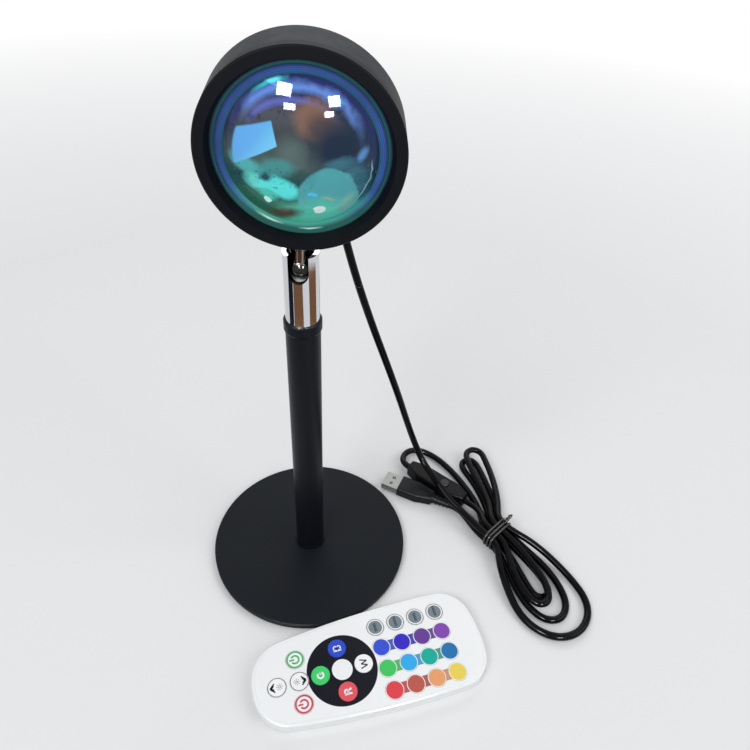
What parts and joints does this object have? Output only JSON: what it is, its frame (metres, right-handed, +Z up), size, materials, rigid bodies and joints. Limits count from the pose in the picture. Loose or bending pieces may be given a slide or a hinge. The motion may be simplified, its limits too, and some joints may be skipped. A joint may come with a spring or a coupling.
{
  "type": "sunset projection lamp",
  "caption": "Round-lens sunset projection lamp on a slim pole and disc base, with pan-and-tilt swivel, USB cord with inline switch, and a card remote control",
  "frame": {"origin": "centre of the base's underside, on the table", "axes": "+Z up along the pole; -Y is the side the lens faces; +X is the lamp's right hand side seen from the front, where the cord lies"},
  "size_m": [0.2274, 0.1879, 0.3002],
  "materials": {
    "base_paint": "satin black",
    "foot_pad": "soft foam rubber",
    "steel": "plain steel",
    "pole_paint": "satin black",
    "bright_metal": "polished plated",
    "seat_plastic": "natural acetal",
    "head_paint": "matte black",
    "ring_paint": "matte black",
    "lens_glass": "clear with a coloured coating",
    "sink_metal": "machined",
    "board_white": "white solder mask",
    "led_yellow": "phosphor",
    "lead_wire": "insulation",
    "cover_plastic": "matte black",
    "cord_black": "glossy black",
    "tie_black": "coated wire",
    "switch_black": "satin black",
    "switch_button": "satin black",
    "board_green": "green solder mask",
    "plug_black": "satin black",
    "shell_steel": "bright nickel",
    "tongue_white": "white",
    "remote_white": "glossy white",
    "film_white": "printed film",
    "tray_white": "white",
    "cell_steel": "bright",
    "key_blue": "printed",
    "key_red": "printed",
    "key_green": "printed",
    "key_white": "printed",
    "key_mode_1": "printed",
    "key_violet_1": "printed",
    "key_violet_2": "printed",
    "key_violet_3": "printed",
    "key_violet_4": "printed",
    "key_teal_1": "printed",
    "key_teal_2": "printed",
    "key_teal_3": "printed",
    "key_teal_4": "printed",
    "key_orange_1": "printed",
    "key_orange_2": "printed",
    "key_orange_3": "printed",
    "key_orange_4": "printed"
  },
  "bodies": {
    "stand": {"base_plate": "base_paint", "base_foot_pad": "foot_pad", "base_screw": "steel", "pole_foot": "pole_paint", "pole_tube": "pole_paint", "pole_collar": "pole_paint", "cord_drop": "cord_black", "cord_hank": "cord_black", "cord_tail": "cord_black", "hank_tie": "tie_black", "switch_case_top": "switch_black", "switch_case_bottom": "switch_black", "switch_board": "board_green", "usb_overmould": "plug_black", "usb_shell": "shell_steel", "usb_tongue": "tongue_white"},
    "swivel": {"swivel_barrel": "bright_metal", "ball_seat": "seat_plastic"},
    "head": {"ball_stud": "bright_metal", "head_housing": "head_paint", "front_ring": "ring_paint", "lens": "lens_glass", "heat_sink": "sink_metal", "led_board": "board_white", "led_package": "led_yellow", "led_leads": "lead_wire", "rear_cover": "cover_plastic", "rear_screws": "steel", "cord_gland": "cord_black"},
    "switch_push": {"switch_button": "switch_button"},
    "remote": {"remote_upper_case": "remote_white", "remote_lower_case": "remote_white", "remote_key_film": "film_white", "remote_circuit_board": "board_green"},
    "battery_tray": {"remote_battery_tray": "tray_white", "remote_coin_cell": "cell_steel"},
    "key_blue": {"remote_key_blue": "key_blue"},
    "key_red": {"remote_key_red": "key_red"},
    "key_green": {"remote_key_green": "key_green"},
    "key_white": {"remote_key_white": "key_white"},
    "key_on": {"remote_key_on": "key_green"},
    "key_off": {"remote_key_off": "key_red"},
    "key_dim": {"remote_key_dim": "key_white"},
    "key_bright": {"remote_key_bright": "key_white"},
    "key_mode_1": {"remote_key_mode_1": "key_mode_1"},
    "key_mode_2": {"remote_key_mode_2": "key_mode_1"},
    "key_mode_3": {"remote_key_mode_3": "key_mode_1"},
    "key_mode_4": {"remote_key_mode_4": "key_mode_1"},
    "key_violet_1": {"remote_key_violet_1": "key_violet_1"},
    "key_violet_2": {"remote_key_violet_2": "key_violet_2"},
    "key_violet_3": {"remote_key_violet_3": "key_violet_3"},
    "key_violet_4": {"remote_key_violet_4": "key_violet_4"},
    "key_teal_1": {"remote_key_teal_1": "key_teal_1"},
    "key_teal_2": {"remote_key_teal_2": "key_teal_2"},
    "key_teal_3": {"remote_key_teal_3": "key_teal_3"},
    "key_teal_4": {"remote_key_teal_4": "key_teal_4"},
    "key_orange_1": {"remote_key_orange_1": "key_orange_1"},
    "key_orange_2": {"remote_key_orange_2": "key_orange_2"},
    "key_orange_3": {"remote_key_orange_3": "key_orange_3"},
    "key_orange_4": {"remote_key_orange_4": "key_orange_4"}
  },
  "joints": [
    {"name": "pan", "type": "hinge", "parent": "stand", "child": "swivel", "pos_m": [0, 0, 0.178], "axis": [0, 0, 1], "range_deg": [-90, 90], "deforming": ["cord_drop"]},
    {"name": "tilt", "type": "hinge", "parent": "swivel", "child": "head", "pos_m": [0, 0, 0.206], "axis": [0.9816, -0.1908, 0], "range_deg": [-14, 80], "deforming": ["cord_drop"]},
    {"name": "switch_press", "type": "slide", "parent": "stand", "child": "switch_push", "axis": [0, 0, -1], "range_m": [0, 0.0008], "stiffness_N_per_m": 1500, "springref_m": -0.0002},
    {"name": "remote_lift", "type": "slide", "parent": "stand", "child": "remote", "axis": [0, 0, 1], "range_m": [0, 0.1]},
    {"name": "battery_tray_pull", "type": "slide", "parent": "remote", "child": "battery_tray", "axis": [-0.9822, -0.1877, 0], "range_m": [0, 0.022]},
    {"name": "key_blue_press", "type": "slide", "parent": "remote", "child": "key_blue", "axis": [0, 0, -1], "range_m": [0, 0.0003], "stiffness_N_per_m": 1500, "springref_m": -0.0001},
    {"name": "key_red_press", "type": "slide", "parent": "remote", "child": "key_red", "axis": [0, 0, -1], "range_m": [0, 0.0003], "stiffness_N_per_m": 1500, "springref_m": -0.0001},
    {"name": "key_green_press", "type": "slide", "parent": "remote", "child": "key_green", "axis": [0, 0, -1], "range_m": [0, 0.0003], "stiffness_N_per_m": 1500, "springref_m": -0.0001},
    {"name": "key_white_press", "type": "slide", "parent": "remote", "child": "key_white", "axis": [0, 0, -1], "range_m": [0, 0.0003], "stiffness_N_per_m": 1500, "springref_m": -0.0001},
    {"name": "key_on_press", "type": "slide", "parent": "remote", "child": "key_on", "axis": [0, 0, -1], "range_m": [0, 0.0003], "stiffness_N_per_m": 1500, "springref_m": -0.0001},
    {"name": "key_off_press", "type": "slide", "parent": "remote", "child": "key_off", "axis": [0, 0, -1], "range_m": [0, 0.0003], "stiffness_N_per_m": 1500, "springref_m": -0.0001},
    {"name": "key_dim_press", "type": "slide", "parent": "remote", "child": "key_dim", "axis": [0, 0, -1], "range_m": [0, 0.0003], "stiffness_N_per_m": 1500, "springref_m": -0.0001},
    {"name": "key_bright_press", "type": "slide", "parent": "remote", "child": "key_bright", "axis": [0, 0, -1], "range_m": [0, 0.0003], "stiffness_N_per_m": 1500, "springref_m": -0.0001},
    {"name": "key_mode_1_press", "type": "slide", "parent": "remote", "child": "key_mode_1", "axis": [0, 0, -1], "range_m": [0, 0.0003], "stiffness_N_per_m": 1500, "springref_m": -0.0001},
    {"name": "key_mode_2_press", "type": "slide", "parent": "remote", "child": "key_mode_2", "axis": [0, 0, -1], "range_m": [0, 0.0003], "stiffness_N_per_m": 1500, "springref_m": -0.0001},
    {"name": "key_mode_3_press", "type": "slide", "parent": "remote", "child": "key_mode_3", "axis": [0, 0, -1], "range_m": [0, 0.0003], "stiffness_N_per_m": 1500, "springref_m": -0.0001},
    {"name": "key_mode_4_press", "type": "slide", "parent": "remote", "child": "key_mode_4", "axis": [0, 0, -1], "range_m": [0, 0.0003], "stiffness_N_per_m": 1500, "springref_m": -0.0001},
    {"name": "key_violet_1_press", "type": "slide", "parent": "remote", "child": "key_violet_1", "axis": [0, 0, -1], "range_m": [0, 0.0003], "stiffness_N_per_m": 1500, "springref_m": -0.0001},
    {"name": "key_violet_2_press", "type": "slide", "parent": "remote", "child": "key_violet_2", "axis": [0, 0, -1], "range_m": [0, 0.0003], "stiffness_N_per_m": 1500, "springref_m": -0.0001},
    {"name": "key_violet_3_press", "type": "slide", "parent": "remote", "child": "key_violet_3", "axis": [0, 0, -1], "range_m": [0, 0.0003], "stiffness_N_per_m": 1500, "springref_m": -0.0001},
    {"name": "key_violet_4_press", "type": "slide", "parent": "remote", "child": "key_violet_4", "axis": [0, 0, -1], "range_m": [0, 0.0003], "stiffness_N_per_m": 1500, "springref_m": -0.0001},
    {"name": "key_teal_1_press", "type": "slide", "parent": "remote", "child": "key_teal_1", "axis": [0, 0, -1], "range_m": [0, 0.0003], "stiffness_N_per_m": 1500, "springref_m": -0.0001},
    {"name": "key_teal_2_press", "type": "slide", "parent": "remote", "child": "key_teal_2", "axis": [0, 0, -1], "range_m": [0, 0.0003], "stiffness_N_per_m": 1500, "springref_m": -0.0001},
    {"name": "key_teal_3_press", "type": "slide", "parent": "remote", "child": "key_teal_3", "axis": [0, 0, -1], "range_m": [0, 0.0003], "stiffness_N_per_m": 1500, "springref_m": -0.0001},
    {"name": "key_teal_4_press", "type": "slide", "parent": "remote", "child": "key_teal_4", "axis": [0, 0, -1], "range_m": [0, 0.0003], "stiffness_N_per_m": 1500, "springref_m": -0.0001},
    {"name": "key_orange_1_press", "type": "slide", "parent": "remote", "child": "key_orange_1", "axis": [0, 0, -1], "range_m": [0, 0.0003], "stiffness_N_per_m": 1500, "springref_m": -0.0001},
    {"name": "key_orange_2_press", "type": "slide", "parent": "remote", "child": "key_orange_2", "axis": [0, 0, -1], "range_m": [0, 0.0003], "stiffness_N_per_m": 1500, "springref_m": -0.0001},
    {"name": "key_orange_3_press", "type": "slide", "parent": "remote", "child": "key_orange_3", "axis": [0, 0, -1], "range_m": [0, 0.0003], "stiffness_N_per_m": 1500, "springref_m": -0.0001},
    {"name": "key_orange_4_press", "type": "slide", "parent": "remote", "child": "key_orange_4", "axis": [0, 0, -1], "range_m": [0, 0.0003], "stiffness_N_per_m": 1500, "springref_m": -0.0001}
  ]
}
